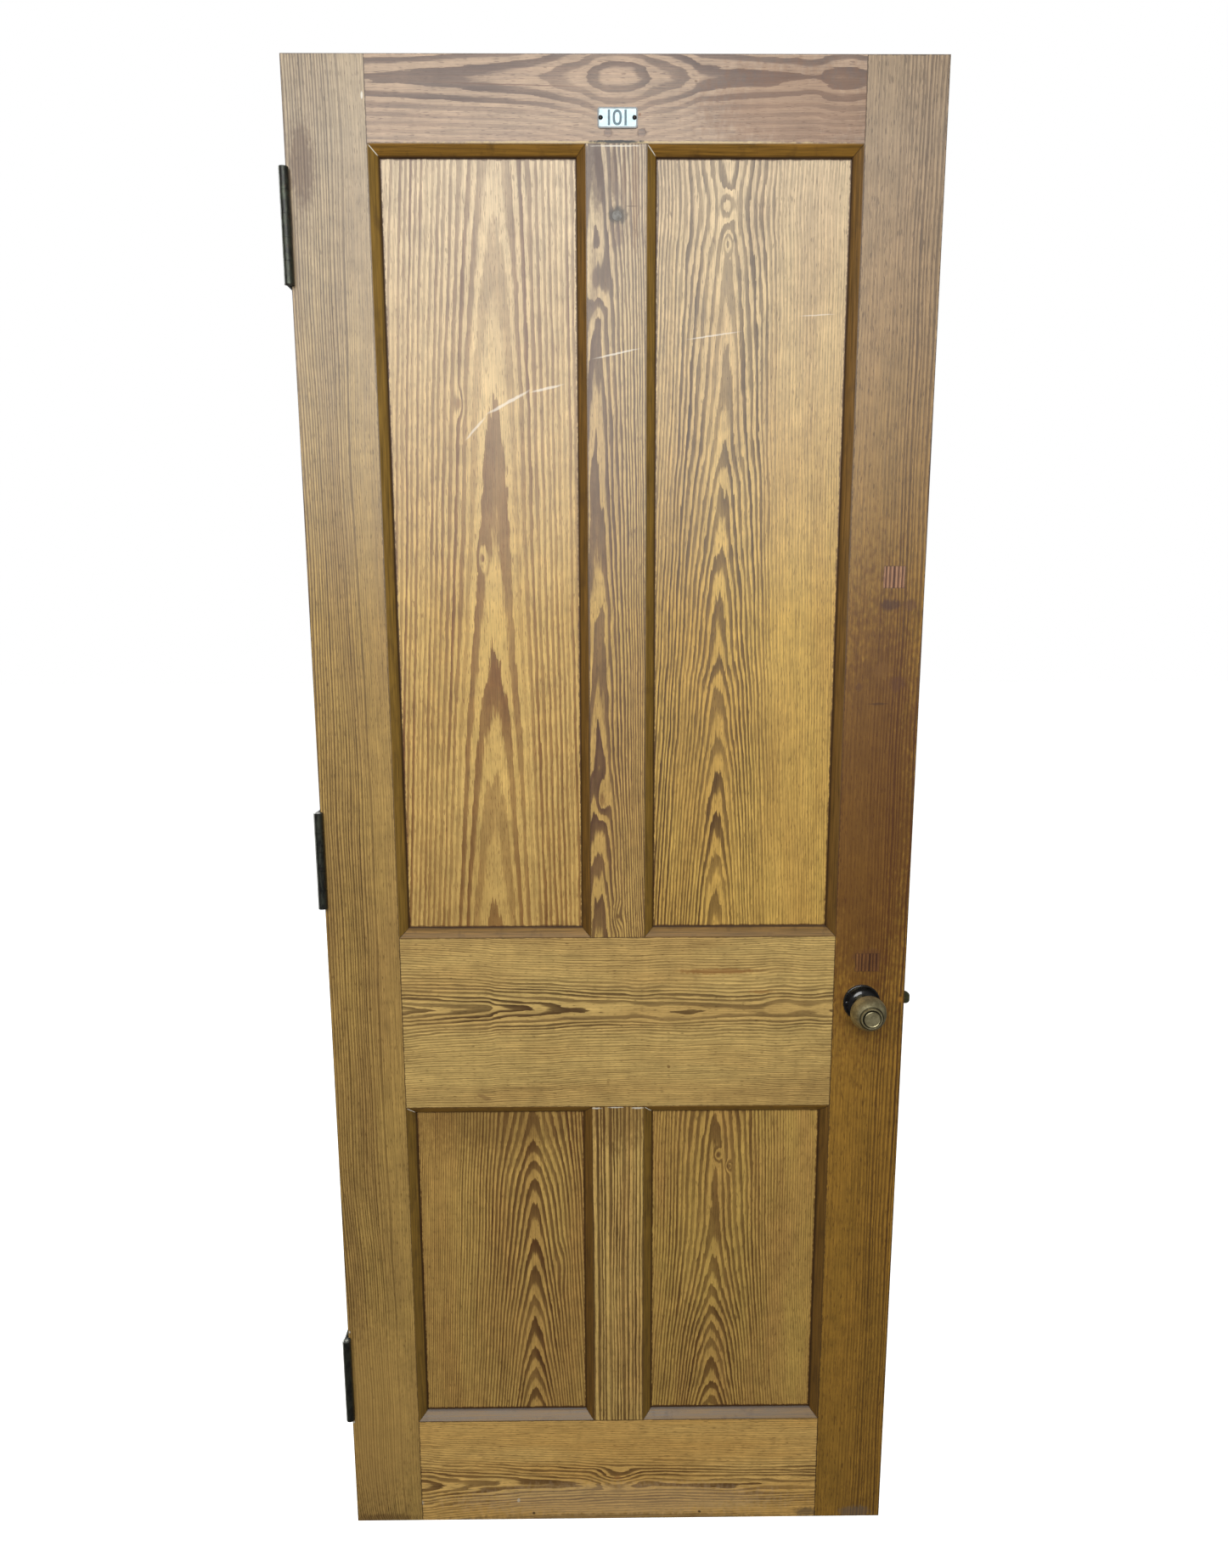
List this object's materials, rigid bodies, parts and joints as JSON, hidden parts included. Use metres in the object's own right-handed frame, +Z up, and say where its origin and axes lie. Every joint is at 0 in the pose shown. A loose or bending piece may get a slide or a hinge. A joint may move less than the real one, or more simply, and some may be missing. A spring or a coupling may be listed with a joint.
{
  "type": "pine interior door",
  "caption": "Old stripped-pine interior door leaf with flat panels, planted mouldings, butt hinges, brass knobs on black roses, sprung mortice latch and a small enamel number plate.",
  "frame": {"origin": "middle of the leaf's bottom edge, in the middle of its thickness", "axes": "+Z up the leaf, +X from the hinge edge to the lock edge, -Y out of the face where the hinge knuckles show, which is the face in the picture"},
  "size_m": [0.7804, 0.1588, 1.936],
  "materials": {
    "pine": "waxed, worn",
    "pine_panel": "waxed, worn",
    "pine_trim": "waxed, worn",
    "aged_brass": "tarnished",
    "black_enamel": "glossy",
    "dark_steel": "aged",
    "bare_steel": "dull",
    "latch_steel": "japanned",
    "plate_enamel": "enamelled",
    "grey_metal": "dull"
  },
  "bodies": {
    "frame_leaves": {"bottom_hinge_frame_leaf": "dark_steel", "bottom_hinge_pin": "bare_steel", "middle_hinge_frame_leaf": "dark_steel", "middle_hinge_pin": "bare_steel", "top_hinge_frame_leaf": "dark_steel", "top_hinge_pin": "bare_steel"},
    "door": {"back_rose": "black_enamel", "bottom_hinge_door_leaf": "dark_steel", "bottom_hinge_screws": "bare_steel", "bottom_rail": "pine", "forend_screws": "aged_brass", "front_rose": "black_enamel", "hinge_stile": "pine", "hinge_stile_wedges": "pine_trim", "latch_case": "latch_steel", "latch_case_cover": "latch_steel", "latch_forend": "aged_brass", "latch_spring": "bare_steel", "lock_rail": "pine", "lock_stile": "pine", "lock_stile_wedges": "pine_trim", "lower_left_back_moulding": "pine_trim", "lower_left_front_moulding": "pine_trim", "lower_left_panel": "pine_panel", "lower_muntin": "pine", "lower_patch": "pine_trim", "lower_right_back_moulding": "pine_trim", "lower_right_front_moulding": "pine_trim", "lower_right_panel": "pine_panel", "middle_hinge_door_leaf": "dark_steel", "middle_hinge_screws": "bare_steel", "muntin_plug": "grey_metal", "number_plate": "plate_enamel", "number_plate_screws": "dark_steel", "rail_plugs": "pine_trim", "rose_screws": "bare_steel", "top_hinge_door_leaf": "dark_steel", "top_hinge_screws": "bare_steel", "top_rail": "pine", "upper_left_back_moulding": "pine_trim", "upper_left_front_moulding": "pine_trim", "upper_left_panel": "pine_panel", "upper_muntin": "pine", "upper_patch": "pine_trim", "upper_right_back_moulding": "pine_trim", "upper_right_front_moulding": "pine_trim", "upper_right_panel": "pine_panel"},
    "knobs": {"front_knob": "aged_brass", "back_knob": "aged_brass", "knob_spindle": "bare_steel", "knob_screws": "bare_steel", "follower": "bare_steel"},
    "bolt": {"latch_bolt": "aged_brass"}
  },
  "joints": [
    {"name": "door_swing", "type": "hinge", "parent": "frame_leaves", "child": "door", "pos_m": [-0.3822, -0.024, 0.9949], "axis": [0, 0, -1], "range_deg": [0, 170]},
    {"name": "knob_turn", "type": "hinge", "parent": "door", "child": "knobs", "pos_m": [0.324, 0, 0.797], "axis": [0, -1, 0], "range_deg": [0, 60]},
    {"name": "bolt_slide", "type": "slide", "parent": "door", "child": "bolt", "axis": [-1, 0, 0], "range_m": [0, 0.01126], "stiffness_N_per_m": 400, "springref_m": -0.008, "deforming": ["latch_spring"]}
  ],
  "couplings": [
    {"joint": "bolt_slide", "follows": "knob_turn", "m_per_rad": 0.01075}
  ]
}
